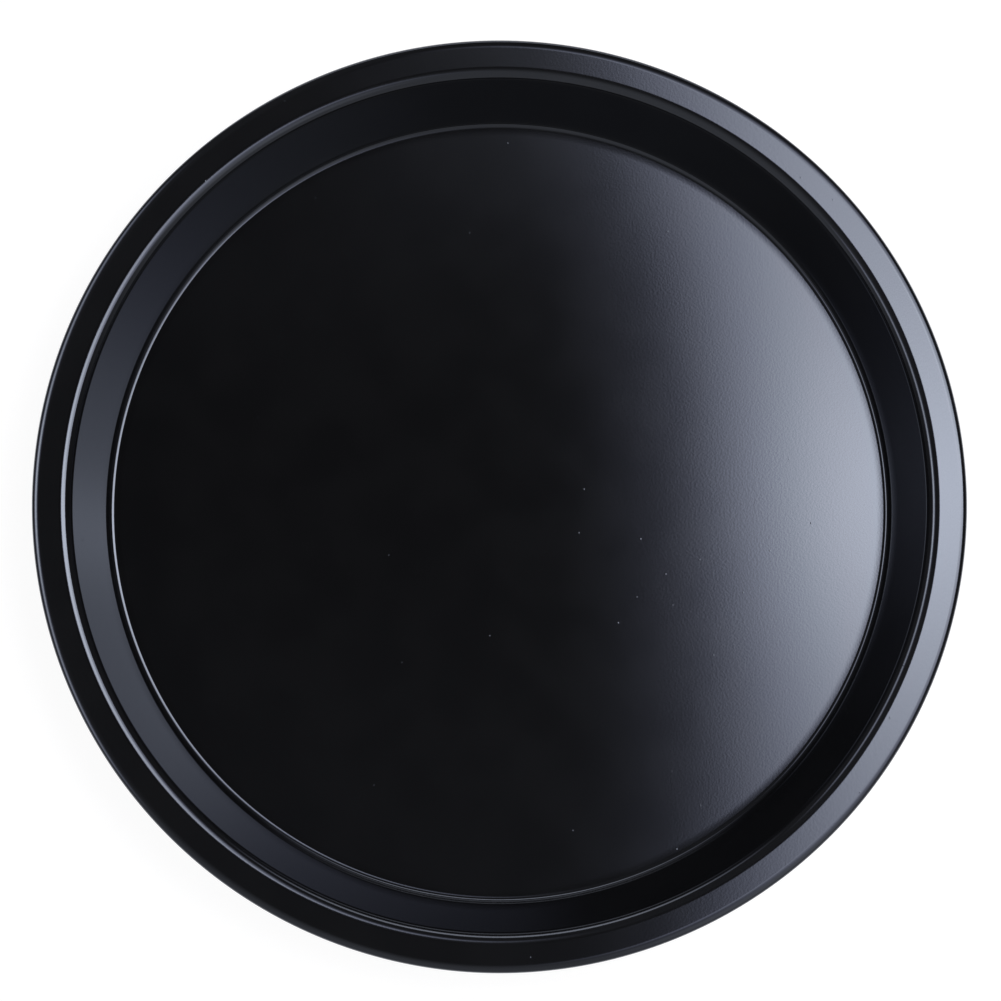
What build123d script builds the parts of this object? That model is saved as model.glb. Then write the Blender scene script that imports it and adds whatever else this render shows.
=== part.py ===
from build123d import *
import math
import os

# Pizza pan: one round blank of sheet steel, pressed and curled, with a non-stick finish.
# Millimetres. +Z is up, and the origin is at the middle of the underside, where the pan rests.

# Driving sizes of the whole pan
outside_diameter = 330.2  # across the curled edge
inside_diameter = 303.6  # across the mouth, where the wall would meet the flange with no bend
inside_depth = 38.1  # from the top of the flange to the floor
sheet = 0.6  # thickness of the steel with its finish

# Floor, which sweeps up very slightly near its edge and then turns sharply into the wall
sweep_radius = 75.0
sweep_turn = 1.9  # degrees
floor_bend_radius = 2.5  # inside of the bend, which the food touches

# Wall and the bend that joins it to the flange
wall_angle = 75.0  # degrees up from the floor
shoulder_radius = 4.8  # top skin

# Edge of the flange, which falls away in a wide arc and is then curled under to a hollow bead
fall_radius = 5.5  # top skin
fall_turn = 24.0  # degrees
curl_radius = 1.4  # outside of the bead
curl_turn = 275.0  # degrees, which leaves a slit under the flange for wash water to run out

# How far the sheet runs out and climbs in each bend, as shares of the bend's radius
sweep_run_share = math.sin(math.radians(sweep_turn))
sweep_climb_share = 1 - math.cos(math.radians(sweep_turn))
wall_run_share = math.sin(math.radians(wall_angle))
wall_climb_share = 1 - math.cos(math.radians(wall_angle))
fall_run_share = math.sin(math.radians(fall_turn))

# Worked out from the sizes above
floor_bend_run = sweep_radius * sweep_run_share + floor_bend_radius * (wall_run_share - sweep_run_share)
floor_bend_climb = (sweep_radius * sweep_climb_share
                    + floor_bend_radius * (wall_climb_share - sweep_climb_share))
wall_foot = inside_diameter / 2 - (inside_depth - floor_bend_climb) / math.tan(math.radians(wall_angle))
floor_flat_radius = wall_foot - floor_bend_run
wall_height = inside_depth - floor_bend_climb - shoulder_radius * wall_climb_share
wall_length = wall_height / wall_run_share
flange_start = wall_foot + wall_height / math.tan(math.radians(wall_angle)) + shoulder_radius * wall_run_share
flange_end = outside_diameter / 2 - fall_radius * fall_run_share - curl_radius * (1 - fall_run_share)


def straight(before, length):
    """A straight stretch of this length that carries on where the stretch before it ends."""
    start = before @ 1
    return Line(start, start + length * (before % 1))


def bend(before, radius, turn):
    """A bend that carries on from the stretch before it, upwards where the turn is positive."""
    return JernArc(start=before @ 1, tangent=before % 1, radius=radius, arc_size=turn)


def skin(below):
    """One skin of the sheet, this far below the top skin, from the axis out to the cut edge.

    Every bend of the sheet has one centre for both skins, so the sheet keeps its thickness."""
    level = sheet - below
    floor = Line((0, level), (floor_flat_radius, level))
    sweep = bend(floor, sweep_radius + below, sweep_turn)
    floor_bend = bend(sweep, floor_bend_radius + below, wall_angle - sweep_turn)
    wall = straight(floor_bend, wall_length)
    shoulder = bend(wall, shoulder_radius - below, -wall_angle)
    flange = straight(shoulder, flange_end - flange_start)
    fall = bend(flange, fall_radius - below, -fall_turn)
    curl = bend(fall, curl_radius - below, -curl_turn)
    return [floor, sweep, floor_bend, wall, shoulder, flange, fall, curl]


def pan_body():
    """The section of the sheet, turned once round the axis."""
    top = skin(0)
    underside = skin(sheet)
    axis_end = Line(underside[0] @ 0, top[0] @ 0)
    cut_edge = Line(top[-1] @ 1, underside[-1] @ 1)
    section = make_face([*top, cut_edge, *underside, axis_end])
    return revolve(Plane.XZ * section, Axis.Z)


os.makedirs("parts", exist_ok=True)
export_step(pan_body(), "parts/pan_body.step")
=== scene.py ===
import math

import bpy
from mathutils import Euler, Matrix, Vector


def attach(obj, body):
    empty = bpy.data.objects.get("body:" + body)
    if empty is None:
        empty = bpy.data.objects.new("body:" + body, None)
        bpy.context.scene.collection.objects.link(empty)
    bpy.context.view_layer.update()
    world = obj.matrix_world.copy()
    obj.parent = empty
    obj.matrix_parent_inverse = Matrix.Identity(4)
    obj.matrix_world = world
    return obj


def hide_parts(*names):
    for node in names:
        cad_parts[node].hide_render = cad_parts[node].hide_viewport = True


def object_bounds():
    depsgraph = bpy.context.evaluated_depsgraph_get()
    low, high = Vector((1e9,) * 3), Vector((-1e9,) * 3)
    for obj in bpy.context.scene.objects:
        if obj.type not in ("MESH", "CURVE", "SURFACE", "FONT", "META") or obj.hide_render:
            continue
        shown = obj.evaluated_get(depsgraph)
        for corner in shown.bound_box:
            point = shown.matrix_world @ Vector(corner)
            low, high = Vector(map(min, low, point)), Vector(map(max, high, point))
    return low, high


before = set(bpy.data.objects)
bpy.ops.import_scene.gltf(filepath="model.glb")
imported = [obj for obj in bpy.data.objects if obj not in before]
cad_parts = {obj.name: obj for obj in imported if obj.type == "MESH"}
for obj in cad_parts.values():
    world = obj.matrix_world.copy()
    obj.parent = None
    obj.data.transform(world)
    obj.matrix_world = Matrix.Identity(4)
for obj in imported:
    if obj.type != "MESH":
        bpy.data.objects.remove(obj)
cad_low, cad_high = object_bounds()

MM = 0.001
UP = Vector((0.0, 0.0, 1.0))
RIGHTWARD = Vector((1.0, 0.0, 0.0))
LEFTWARD = Vector((-1.0, 0.0, 0.0))
BACKWARD = Vector((0.0, 1.0, 0.0))  # towards the top of the picture
FRONTWARD = Vector((0.0, -1.0, 0.0))
WHITE = (1.0, 1.0, 1.0, 1.0)

# Section of the sheet, as in the CAD model. The width across the rim comes from the frame.
INSIDE_DIAMETER = 303.6 * MM
INSIDE_DEPTH = 38.1 * MM
SHEET = 0.6 * MM
SWEEP_RADIUS = 75.0 * MM
SWEEP_TURN = 1.9
FLOOR_BEND_RADIUS = 2.5 * MM
WALL_ANGLE = 75.0
SHOULDER_RADIUS = 4.8 * MM
FALL_RADIUS = 5.5 * MM
FALL_TURN = 24.0
CURL_RADIUS = 1.4 * MM
CURL_TURN = 275.0

# How finely the pan's mesh is divided
SEGMENTS = 360
FLOOR_RINGS = 12
SWEEP_RINGS = 3
BEND_RINGS = 18
WALL_RINGS = 6
FLANGE_RINGS = 3
FALL_RINGS = 8
CURL_RINGS = 36


class Skin:
    """Points of one skin of the sheet, walked from the axis out, with the way each one faces."""

    def __init__(self, height):
        self.points = [(0.0, height)]
        self.slopes = [0.0]
        self.heading = 0.0

    def straight(self, length, steps):
        """Carries straight on for this length."""
        radius, height = self.points[-1]
        along = math.radians(self.heading)
        for step in range(1, steps + 1):
            gone = length * step / steps
            self.points.append((radius + gone * math.cos(along), height + gone * math.sin(along)))
            self.slopes.append(self.heading)

    def bend(self, bend_radius, turn, steps):
        """Turns by this many degrees, upwards where the turn is positive."""
        radius, height = self.points[-1]
        side = math.copysign(1.0, turn)
        start = math.radians(self.heading)
        centre_radius = radius - side * bend_radius * math.sin(start)
        centre_height = height + side * bend_radius * math.cos(start)
        for step in range(1, steps + 1):
            slope = self.heading + turn * step / steps
            along = math.radians(slope)
            self.points.append((
                centre_radius + side * bend_radius * math.sin(along),
                centre_height - side * bend_radius * math.cos(along),
            ))
            self.slopes.append(slope)
        self.heading += turn


def walk_skin(below):
    """One skin of the sheet, this far below the top skin."""
    sweep = math.radians(SWEEP_TURN)
    wall = math.radians(WALL_ANGLE)
    fall_run_share = math.sin(math.radians(FALL_TURN))
    bend_run = SWEEP_RADIUS * math.sin(sweep) + FLOOR_BEND_RADIUS * (math.sin(wall) - math.sin(sweep))
    bend_climb = (SWEEP_RADIUS * (1 - math.cos(sweep))
                  + FLOOR_BEND_RADIUS * (math.cos(sweep) - math.cos(wall)))
    wall_foot = INSIDE_DIAMETER / 2 - (INSIDE_DEPTH - bend_climb) / math.tan(wall)
    wall_height = INSIDE_DEPTH - bend_climb - SHOULDER_RADIUS * (1 - math.cos(wall))
    flange_start = wall_foot + wall_height / math.tan(wall) + SHOULDER_RADIUS * math.sin(wall)
    flange_end = cad_high.x - FALL_RADIUS * fall_run_share - CURL_RADIUS * (1 - fall_run_share)

    skin = Skin(SHEET - below)
    skin.straight(wall_foot - bend_run, FLOOR_RINGS)
    skin.bend(SWEEP_RADIUS + below, SWEEP_TURN, SWEEP_RINGS)
    skin.bend(FLOOR_BEND_RADIUS + below, WALL_ANGLE - SWEEP_TURN, BEND_RINGS)
    skin.straight(wall_height / math.sin(wall), WALL_RINGS)
    skin.bend(SHOULDER_RADIUS - below, -WALL_ANGLE, BEND_RINGS)
    skin.straight(flange_end - flange_start, FLANGE_RINGS)
    skin.bend(FALL_RADIUS - below, -FALL_TURN, FALL_RINGS)
    skin.bend(CURL_RADIUS - below, -CURL_TURN, CURL_RINGS)
    return skin


def turned_sheet(name):
    """The whole sheet as one closed mesh: the top skin out to the cut edge, then the underside back in."""
    top = walk_skin(0.0)
    under = walk_skin(SHEET)
    rings = top.points[1:] + under.points[:0:-1]
    facing = [(-math.sin(math.radians(s)), math.cos(math.radians(s))) for s in top.slopes[1:]]
    facing += [(math.sin(math.radians(s)), -math.cos(math.radians(s))) for s in under.slopes[:0:-1]]

    verts = [(0.0, 0.0, top.points[0][1])]
    normals = [(0.0, 0.0, 1.0)]
    for (radius, height), (out, up) in zip(rings, facing):
        for segment in range(SEGMENTS):
            turn = 2 * math.pi * segment / SEGMENTS
            verts.append((radius * math.cos(turn), radius * math.sin(turn), height))
            normals.append((out * math.cos(turn), out * math.sin(turn), up))
    verts.append((0.0, 0.0, under.points[0][1]))
    normals.append((0.0, 0.0, -1.0))
    last = len(verts) - 1

    faces = []
    for segment in range(SEGMENTS):
        after = (segment + 1) % SEGMENTS
        faces.append((0, 1 + segment, 1 + after))
        for ring in range(len(rings) - 1):
            inner = 1 + ring * SEGMENTS
            outer = inner + SEGMENTS
            faces.append((inner + segment, outer + segment, outer + after, inner + after))
        final = 1 + (len(rings) - 1) * SEGMENTS
        faces.append((last, final + after, final + segment))

    mesh = bpy.data.meshes.new(name)
    mesh.from_pydata(verts, [], faces)
    mesh.shade_smooth()
    mesh.normals_split_custom_set_from_vertices(normals)
    mesh.validate()
    made = bpy.data.objects.new(name, mesh)
    bpy.context.scene.collection.objects.link(made)
    return made


class Maths:
    """Short ways to write sums in a node tree. Each one gives back the socket that holds the answer."""

    def __init__(self, tree):
        self.tree = tree

    def _fill(self, socket, value):
        if isinstance(value, (int, float, Vector)):
            socket.default_value = value
        else:
            self.tree.links.new(value, socket)

    def _node(self, operation, *inputs):
        made = self.tree.nodes.new("ShaderNodeMath")
        made.operation = operation
        for socket, value in zip(made.inputs, inputs):
            self._fill(socket, value)
        return made.outputs[0]

    def add(self, a, b):
        return self._node("ADD", a, b)

    def subtract(self, a, b):
        return self._node("SUBTRACT", a, b)

    def multiply(self, a, b):
        return self._node("MULTIPLY", a, b)

    def divide(self, a, b):
        return self._node("DIVIDE", a, b)

    def size(self, a):
        return self._node("ABSOLUTE", a)

    def larger(self, a, b):
        return self._node("MAXIMUM", a, b)

    def power(self, a, b):
        return self._node("POWER", a, b)

    def bell(self, away, width):
        """1 in the middle, falling smoothly to 1/e at this distance and towards nothing beyond it."""
        share = self.divide(away, width)
        return self._node("EXPONENT", self.multiply(self.multiply(share, share), -1.0))

    def two_bells(self, away, first_width, second_width, second_share):
        """Two bells on one middle, which add up to 1 there."""
        first = self.multiply(self.bell(away, first_width), 1 - second_share)
        return self.add(first, self.multiply(self.bell(away, second_width), second_share))

    def ease(self, value, start, end):
        """Smooth step from 0 at the start to 1 at the end."""
        made = self.tree.nodes.new("ShaderNodeMapRange")
        made.interpolation_type = "SMOOTHSTEP"
        for socket, given in (("Value", value), ("From Min", start), ("From Max", end)):
            self._fill(made.inputs[socket], given)
        return made.outputs["Result"]

    def fade(self, away, half_size, flat_share):
        """1 out to this share of the half size, then falling smoothly to 0 at the half size."""
        return self.ease(self.divide(self.size(away), half_size), 1.0, flat_share)

    def along(self, place, direction):
        """How far this place lies in this direction."""
        made = self.tree.nodes.new("ShaderNodeVectorMath")
        made.operation = "DOT_PRODUCT"
        self._fill(made.inputs[0], place)
        self._fill(made.inputs[1], direction)
        return made.outputs["Value"]


# Coating: satin black, a little cloudy, with a fine orange-peel grain and a rare nib of dust under it
COATING_DARK = (0.0042, 0.0041, 0.0044, 1.0)
COATING_LIGHT = (0.0052, 0.0051, 0.0054, 1.0)
COATING_SHINE = (0.762, 0.83, 1.0, 1.0)
COATING_INDEX = 1.8
ROUGHNESS_RANGE = (0.076, 0.086)
CLOUD_SIZE = 24.0 * MM
CLOUD_DETAIL = 3.0
CLOUD_CONTRAST_SHARE = 0.15
GRAIN_SIZE = 0.75 * MM
GRAIN_DETAIL = 1.0
GRAIN_HEIGHT = 0.0056 * MM
NIB_SPACING = 9.0 * MM
NIB_RADIUS = 0.4 * MM
NIB_HEIGHT = 0.03 * MM


def noise(tree, place, size, detail):
    """Cloudy pattern with lumps of about this size, from 0 to 1."""
    made = tree.nodes.new("ShaderNodeTexNoise")
    made.inputs["Scale"].default_value = 1 / size
    made.inputs["Detail"].default_value = detail
    tree.links.new(place, made.inputs["Vector"])
    return made.outputs["Fac"]


def between_colours(tree, share, first, second):
    """The first colour where the share is 0, and the second where it is 1."""
    made = tree.nodes.new("ShaderNodeMix")
    made.data_type = "RGBA"
    inputs = {socket.identifier: socket for socket in made.inputs}
    outputs = {socket.identifier: socket for socket in made.outputs}
    inputs["A_Color"].default_value = first
    inputs["B_Color"].default_value = second
    tree.links.new(share, inputs["Factor_Float"])
    return outputs["Result_Color"]


def nonstick():
    """Satin black non-stick coating."""
    material = bpy.data.materials.new("nonstick_black")
    material.use_nodes = True
    tree = material.node_tree
    maths = Maths(tree)
    shader = tree.nodes["Principled BSDF"]
    shader.inputs["IOR"].default_value = COATING_INDEX
    shader.inputs["Specular Tint"].default_value = COATING_SHINE
    place = tree.nodes.new("ShaderNodeTexCoord").outputs["Object"]

    cloud = noise(tree, place, CLOUD_SIZE, CLOUD_DETAIL)
    cloud = maths.ease(cloud, 0.5 - CLOUD_CONTRAST_SHARE, 0.5 + CLOUD_CONTRAST_SHARE)
    colour = between_colours(tree, cloud, COATING_DARK, COATING_LIGHT)
    tree.links.new(colour, shader.inputs["Base Color"])
    least, most = ROUGHNESS_RANGE
    tree.links.new(maths.add(maths.multiply(cloud, most - least), least), shader.inputs["Roughness"])

    nibs = tree.nodes.new("ShaderNodeTexVoronoi")
    nibs.inputs["Scale"].default_value = 1 / NIB_SPACING
    tree.links.new(place, nibs.inputs["Vector"])
    nib = maths.ease(nibs.outputs["Distance"], NIB_RADIUS / NIB_SPACING, 0.0)
    grain = noise(tree, place, GRAIN_SIZE, GRAIN_DETAIL)
    bump = tree.nodes.new("ShaderNodeBump")
    bump.inputs["Distance"].default_value = GRAIN_HEIGHT
    height = maths.add(grain, maths.multiply(nib, NIB_HEIGHT / GRAIN_HEIGHT))
    tree.links.new(height, bump.inputs["Height"])
    tree.links.new(bump.outputs["Normal"], shader.inputs["Normal"])
    return material


# Lights: all are a little bluer where they are dim
EDGE_BLUE_SHARE = 0.2
EDGE_BLUE_SHARPNESS = 2.6
CEILING = 1.5
PANEL_DISTANCE = 1.6


def area_light(name, centre, facing, across, size_across, size_along, radiance):
    """A rectangular light that shines the way it faces. Its first side runs across."""
    light = bpy.data.lights.new(name, "AREA")
    light.shape = "RECTANGLE"
    light.size = size_across
    light.size_y = size_along
    light.energy = math.pi * size_across * size_along * radiance
    made = bpy.data.objects.new(name, light)
    back = -Vector(facing).normalized()
    side = Vector(across).normalized()
    along = back.cross(side)
    made.matrix_world = Matrix.Translation(centre) @ Matrix((side, along, back)).transposed().to_4x4()
    made.visible_camera = False
    bpy.context.scene.collection.objects.link(made)
    return made


def overhead(name, height, x_range, y_range, radiance):
    """A level light at this height that covers these ranges and shines down."""
    centre = (sum(x_range) / 2, sum(y_range) / 2, height)
    return area_light(
        name, centre, -UP, RIGHTWARD, x_range[1] - x_range[0], y_range[1] - y_range[0], radiance)


def panel(name, azimuth, polar_range, width, radiance):
    """A light that fills these angles from straight up, as seen from the pan, facing the pan."""
    middle = math.radians(sum(polar_range) / 2)
    half = math.radians((polar_range[1] - polar_range[0]) / 2)
    turn = math.radians(azimuth)
    level = Vector((math.cos(turn), math.sin(turn), 0.0))
    towards = level * math.sin(middle) + UP * math.cos(middle)
    across = level * math.cos(middle) - UP * math.sin(middle)
    tall = 2 * PANEL_DISTANCE * math.tan(half)
    return area_light(name, towards * PANEL_DISTANCE, -towards, across, tall, width, radiance)


def light_pattern(made):
    """Sums and the place on the light, for a pattern of brightness across it."""
    made.data.use_nodes = True
    tree = made.data.node_tree
    place = tree.nodes.new("ShaderNodeNewGeometry").outputs["Position"]
    return Maths(tree), place


def own_sides(made, maths, place):
    """How far a place on a light lies from its middle, along its first side and its second."""
    turn = made.matrix_world.to_3x3()
    centre = made.matrix_world.translation
    sides = (turn.col[0], turn.col[1])
    return [maths.subtract(maths.along(place, side), centre.dot(side)) for side in sides]


def paint(made, maths, brightness):
    """Gives a light its pattern of brightness."""
    tree = maths.tree
    emission = tree.nodes["Emission"]
    tree.links.new(brightness, emission.inputs["Strength"])
    dimness = maths.power(maths.larger(maths.subtract(1.0, brightness), 0.0), EDGE_BLUE_SHARPNESS)
    colour = tree.nodes.new("ShaderNodeCombineColor")
    colour.inputs["Red"].default_value = 1.0
    colour.inputs["Green"].default_value = 1.0
    tree.links.new(maths.add(maths.multiply(dimness, EDGE_BLUE_SHARE), 1.0), colour.inputs["Blue"])
    tree.links.new(colour.outputs["Color"], emission.inputs["Color"])


def soft_light(made, flat_share):
    """Fades a light from full brightness, this share of the way out, to nothing at its edges."""
    maths, place = light_pattern(made)
    first, second = own_sides(made, maths, place)
    lit = maths.multiply(
        maths.fade(first, made.data.size / 2, flat_share),
        maths.fade(second, made.data.size_y / 2, flat_share),
    )
    paint(made, maths, lit)


# Main light: a large scrim overhead on the right, lit in a broad hump with a narrow core in two parts
SCRIM_X = (-0.2, 1.6)
SCRIM_Y = (-1.2, 1.5)
SCRIM_RADIANCE = 6.7
SCRIM_END = (1.52, 1.25)
HUMP_MIDDLE = 0.149
HUMP_SLANT_SHARE = 0.049
HUMP_HALF_WIDTH = 0.419
HUMP_WIDENING_SHARE = 0.194
CORE_SHARE = 0.315
CORE_MIDDLE = 0.06
CORE_SLANT_SHARE = 0.13
CORE_HALF_WIDTH = 0.124
CORE_GAP_MIDDLE = 0.61
CORE_GAP_HALF_WIDTH = 0.17

# Its left edge curves, rises over a firm step, and spills a little light further left
EDGE_X = 0.227
EDGE_MIDDLE = 0.15
EDGE_SLANT_SHARE = -0.146
EDGE_CURVE = -0.462
EDGE_SOFTNESS = 0.174
SPILL_SHARE = 0.166
SPILL_REACH = 0.256


def scrim_edge(maths, x, y):
    """0 to the left of the scrim's edge, and 1 to the right."""
    off = maths.subtract(y, EDGE_MIDDLE)
    edge = maths.add(EDGE_X, maths.multiply(off, EDGE_SLANT_SHARE))
    edge = maths.add(edge, maths.multiply(maths.multiply(off, off), EDGE_CURVE))
    inner = maths.subtract(edge, EDGE_SOFTNESS / 2)
    outer = maths.add(edge, EDGE_SOFTNESS / 2)
    firm = maths.ease(x, inner, outer)
    spill = maths.ease(x, maths.subtract(outer, SPILL_REACH), outer)
    return maths.add(maths.multiply(firm, 1 - SPILL_SHARE), maths.multiply(spill, SPILL_SHARE))


def scrim():
    """The main light and the pattern of brightness across it."""
    made = overhead("scrim", CEILING, SCRIM_X, SCRIM_Y, SCRIM_RADIANCE)
    maths, place = light_pattern(made)
    x = maths.along(place, RIGHTWARD)
    y = maths.along(place, BACKWARD)
    hump_middle = maths.add(HUMP_MIDDLE, maths.multiply(x, HUMP_SLANT_SHARE))
    hump_width = maths.add(HUMP_HALF_WIDTH, maths.multiply(x, HUMP_WIDENING_SHARE))
    hump = maths.bell(maths.subtract(y, hump_middle), hump_width)
    core_middle = maths.add(CORE_MIDDLE, maths.multiply(x, CORE_SLANT_SHARE))
    core = maths.bell(maths.subtract(y, core_middle), CORE_HALF_WIDTH)
    gap = maths.bell(maths.subtract(x, CORE_GAP_MIDDLE), CORE_GAP_HALF_WIDTH)
    core_share = maths.multiply(maths.subtract(1.0, gap), CORE_SHARE)
    lit = maths.add(
        maths.multiply(hump, maths.subtract(1.0, core_share)),
        maths.multiply(core, core_share),
    )
    lit = maths.multiply(lit, scrim_edge(maths, x, y))
    lit = maths.multiply(lit, maths.ease(x, *SCRIM_END))
    paint(made, maths, lit)


# Second light: stands to the left, brightest along its middle, with a dim tail inwards and outwards
LEFT_AZIMUTH = 173.0
LEFT_POLAR = (27.0, 58.0)
LEFT_WIDTH = 2.1
LEFT_RADIANCE = 5.0
LEFT_PEAK = 0.025  # from the light's middle, outwards
LEFT_PEAK_HALF_DEPTH = 0.175
LEFT_TAIL_SHARE = 0.07
LEFT_TAIL_HALF_DEPTH = 0.33
LEFT_HUMP_HALF_WIDTH = 0.87
LEFT_CORE_SHARE = 0.4
LEFT_CORE_HALF_WIDTH = 0.21
LEFT_FLAT_SHARE = 0.7


def left_light():
    """The second light and the pattern of brightness across it."""
    made = panel("left_light", LEFT_AZIMUTH, LEFT_POLAR, LEFT_WIDTH, LEFT_RADIANCE)
    maths, place = light_pattern(made)
    outwards, sideways = own_sides(made, maths, place)
    lit = maths.two_bells(sideways, LEFT_HUMP_HALF_WIDTH, LEFT_CORE_HALF_WIDTH, LEFT_CORE_SHARE)
    away = maths.subtract(outwards, LEFT_PEAK)
    depth = maths.two_bells(away, LEFT_PEAK_HALF_DEPTH, LEFT_TAIL_HALF_DEPTH, LEFT_TAIL_SHARE)
    lit = maths.multiply(lit, depth)
    lit = maths.multiply(lit, maths.fade(sideways, made.data.size_y / 2, LEFT_FLAT_SHARE))
    paint(made, maths, lit)


# Dim fill just under the scrim, towards the top of the picture
TOP_FILL_GAP = 0.05  # below the scrim
TOP_FILL_X = (-0.16, 0.46)
TOP_FILL_Y = (0.27, 0.87)
TOP_FILL_RADIANCE = 0.17
TOP_FILL_FLAT_SHARE = 0.3


def top_fill():
    """The dim fill under the scrim."""
    made = overhead("top_fill", CEILING - TOP_FILL_GAP, TOP_FILL_X, TOP_FILL_Y, TOP_FILL_RADIANCE)
    soft_light(made, TOP_FILL_FLAT_SHARE)


# Dim glows: one low beyond the top of the picture, and one at the front right
TOP_GLOW_AZIMUTH = 90.0
TOP_GLOW_POLAR = (60.0, 82.0)
TOP_GLOW_WIDTH = 2.4
TOP_GLOW_RADIANCE = 2.0

FRONT_GLOW_AZIMUTH = -50.0
FRONT_GLOW_POLAR = (25.0, 65.0)
FRONT_GLOW_WIDTH = 1.2
FRONT_GLOW_RADIANCE = 0.4

GLOW_FLAT_SHARE = 0.2


def glows():
    """The two dim glows."""
    top = panel("top_glow", TOP_GLOW_AZIMUTH, TOP_GLOW_POLAR, TOP_GLOW_WIDTH, TOP_GLOW_RADIANCE)
    soft_light(top, GLOW_FLAT_SHARE)
    front = panel(
        "front_right_glow", FRONT_GLOW_AZIMUTH, FRONT_GLOW_POLAR, FRONT_GLOW_WIDTH, FRONT_GLOW_RADIANCE)
    soft_light(front, GLOW_FLAT_SHARE)


# Studio round the lights: dark, with a broad glow at the front. Three faint steps start near straight
# up and reach out to the front, to the left and to the back.
STUDIO_STRENGTH = 0.022
GLOW_STRENGTH = 0.3
GLOW_RISE = (0.05, 0.7)
STEP_STRENGTH = 0.03
STEPS = (
    (FRONTWARD, -0.08, 0.06),
    (LEFTWARD, 0.09, 0.135),
    (FRONTWARD, -0.08, -0.17),
)


def studio():
    """The world: a dark studio for reflections, and white for the camera."""
    world = bpy.data.worlds.new("studio")
    world.use_nodes = True
    tree = world.node_tree
    maths = Maths(tree)
    direction = tree.nodes.new("ShaderNodeTexCoord").outputs["Generated"]
    strength = maths.multiply(maths.ease(maths.along(direction, FRONTWARD), *GLOW_RISE), GLOW_STRENGTH)
    for way, start, end in STEPS:
        step = maths.ease(maths.along(direction, way), start, end)
        strength = maths.add(strength, maths.multiply(step, STEP_STRENGTH))
    dark = tree.nodes["Background"]
    dark.inputs["Color"].default_value = WHITE
    tree.links.new(maths.add(strength, STUDIO_STRENGTH), dark.inputs["Strength"])
    white = tree.nodes.new("ShaderNodeBackground")
    white.inputs["Color"].default_value = WHITE
    light_path = tree.nodes.new("ShaderNodeLightPath")
    mix = tree.nodes.new("ShaderNodeMixShader")
    tree.links.new(light_path.outputs["Is Camera Ray"], mix.inputs["Fac"])
    tree.links.new(dark.outputs["Background"], mix.inputs[1])
    tree.links.new(white.outputs["Background"], mix.inputs[2])
    tree.links.new(mix.outputs["Shader"], tree.nodes["World Output"].inputs["Surface"])
    bpy.context.scene.world = world


# Floor: plain and pale, and white where it is seen, apart from the pan's shadow
FLOOR_SIZE = 8.0
FLOOR_COLOUR = (0.8, 0.8, 0.8, 1.0)
FLOOR_SEEN_COLOUR = (0.2, 0.2, 0.2, 1.0)
FLOOR_GLOW = 0.9


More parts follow.
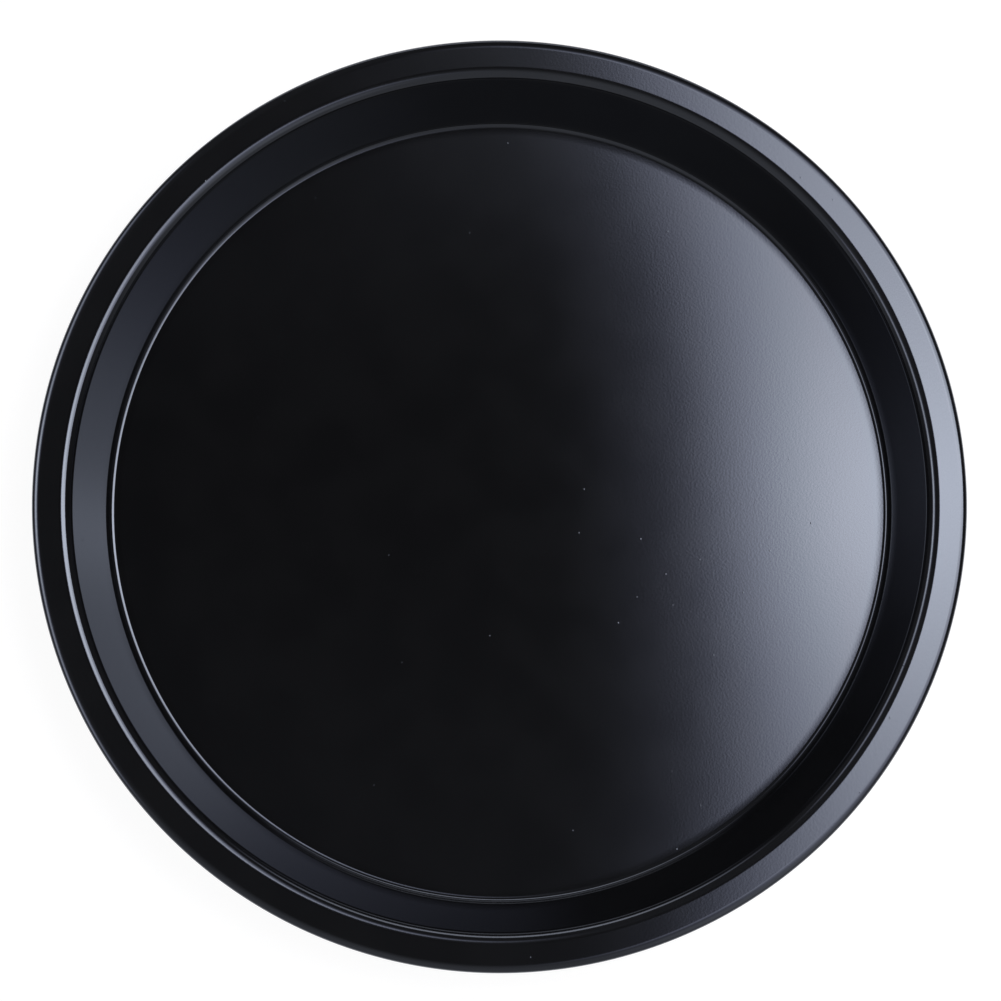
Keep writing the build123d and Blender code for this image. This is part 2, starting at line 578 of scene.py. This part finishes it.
def pale_floor():
    """Pale floor for light that bounces, and a brighter one for the camera and for reflections."""
    material = bpy.data.materials.new("white_floor")
    material.use_nodes = True
    tree = material.node_tree
    maths = Maths(tree)
    shader = tree.nodes["Principled BSDF"]
    shader.inputs["Base Color"].default_value = FLOOR_COLOUR
    shader.inputs["Specular IOR Level"].default_value = 0.0
    seen_shader = tree.nodes.new("ShaderNodeBsdfDiffuse")
    seen_shader.inputs["Color"].default_value = FLOOR_SEEN_COLOUR
    glow = tree.nodes.new("ShaderNodeEmission")
    glow.inputs["Strength"].default_value = FLOOR_GLOW
    both = tree.nodes.new("ShaderNodeAddShader")
    tree.links.new(seen_shader.outputs["BSDF"], both.inputs[0])
    tree.links.new(glow.outputs["Emission"], both.inputs[1])
    light_path = tree.nodes.new("ShaderNodeLightPath")
    seen = maths.larger(light_path.outputs["Is Camera Ray"], light_path.outputs["Is Glossy Ray"])
    seen = maths.larger(seen, light_path.outputs["Is Transmission Ray"])
    mix = tree.nodes.new("ShaderNodeMixShader")
    tree.links.new(seen, mix.inputs["Fac"])
    tree.links.new(shader.outputs["BSDF"], mix.inputs[1])
    tree.links.new(both.outputs["Shader"], mix.inputs[2])
    tree.links.new(mix.outputs["Shader"], tree.nodes["Material Output"].inputs["Surface"])
    return material


def floor_sheet():
    """The flat floor that the pan stands on."""
    half = FLOOR_SIZE / 2
    mesh = bpy.data.meshes.new("floor")
    corners = [(-half, -half, 0.0), (half, -half, 0.0), (half, half, 0.0), (-half, half, 0.0)]
    mesh.from_pydata(corners, [], [(0, 1, 2, 3)])
    mesh.materials.append(pale_floor())
    made = bpy.data.objects.new("floor", mesh)
    bpy.context.scene.collection.objects.link(made)
    return made


# Camera: almost straight down, from the side nearest the bottom of the picture
PICTURE_PX = 1001
SENSOR = 36.0
CAMERA_DISTANCE = 1.2
CAMERA_TILT = 4.0
CAMERA_SIDE_TILT = -0.3
CAMERA_NEAR = 0.01
CAMERA_FAR = 50.0
PX_PER_METRE = 2831.8
RIM_CENTRE_PX = (499.75, 502.4)
RIM_DROP = 1.75 * MM  # from the top of the flange to the widest part of the rim


def photo_camera():
    """The camera at the photograph's viewing angle, aimed at the middle of the rim."""
    lens = bpy.data.cameras.new("camera")
    lens.sensor_width = SENSOR
    lens.lens = SENSOR * PX_PER_METRE * CAMERA_DISTANCE / PICTURE_PX
    lens.clip_start = CAMERA_NEAR
    lens.clip_end = CAMERA_FAR
    lens.shift_x = (PICTURE_PX / 2 - RIM_CENTRE_PX[0]) / PICTURE_PX
    lens.shift_y = (RIM_CENTRE_PX[1] - PICTURE_PX / 2) / PICTURE_PX
    made = bpy.data.objects.new("camera", lens)
    turn = Euler((math.radians(CAMERA_TILT), math.radians(CAMERA_SIDE_TILT), 0.0))
    rim_middle = Vector((0.0, 0.0, cad_high.z - RIM_DROP))
    made.location = rim_middle + turn.to_matrix() @ (UP * CAMERA_DISTANCE)
    made.rotation_euler = turn
    bpy.context.scene.collection.objects.link(made)
    bpy.context.scene.camera = made


pan = turned_sheet("pressed_pan")
pan.data.materials.append(nonstick())
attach(pan, "root")
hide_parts("pan_body")

photo_camera()
scrim()
top_fill()
left_light()
glows()
studio()

floor = floor_sheet()

bpy.context.scene.view_settings.view_transform = "Standard"
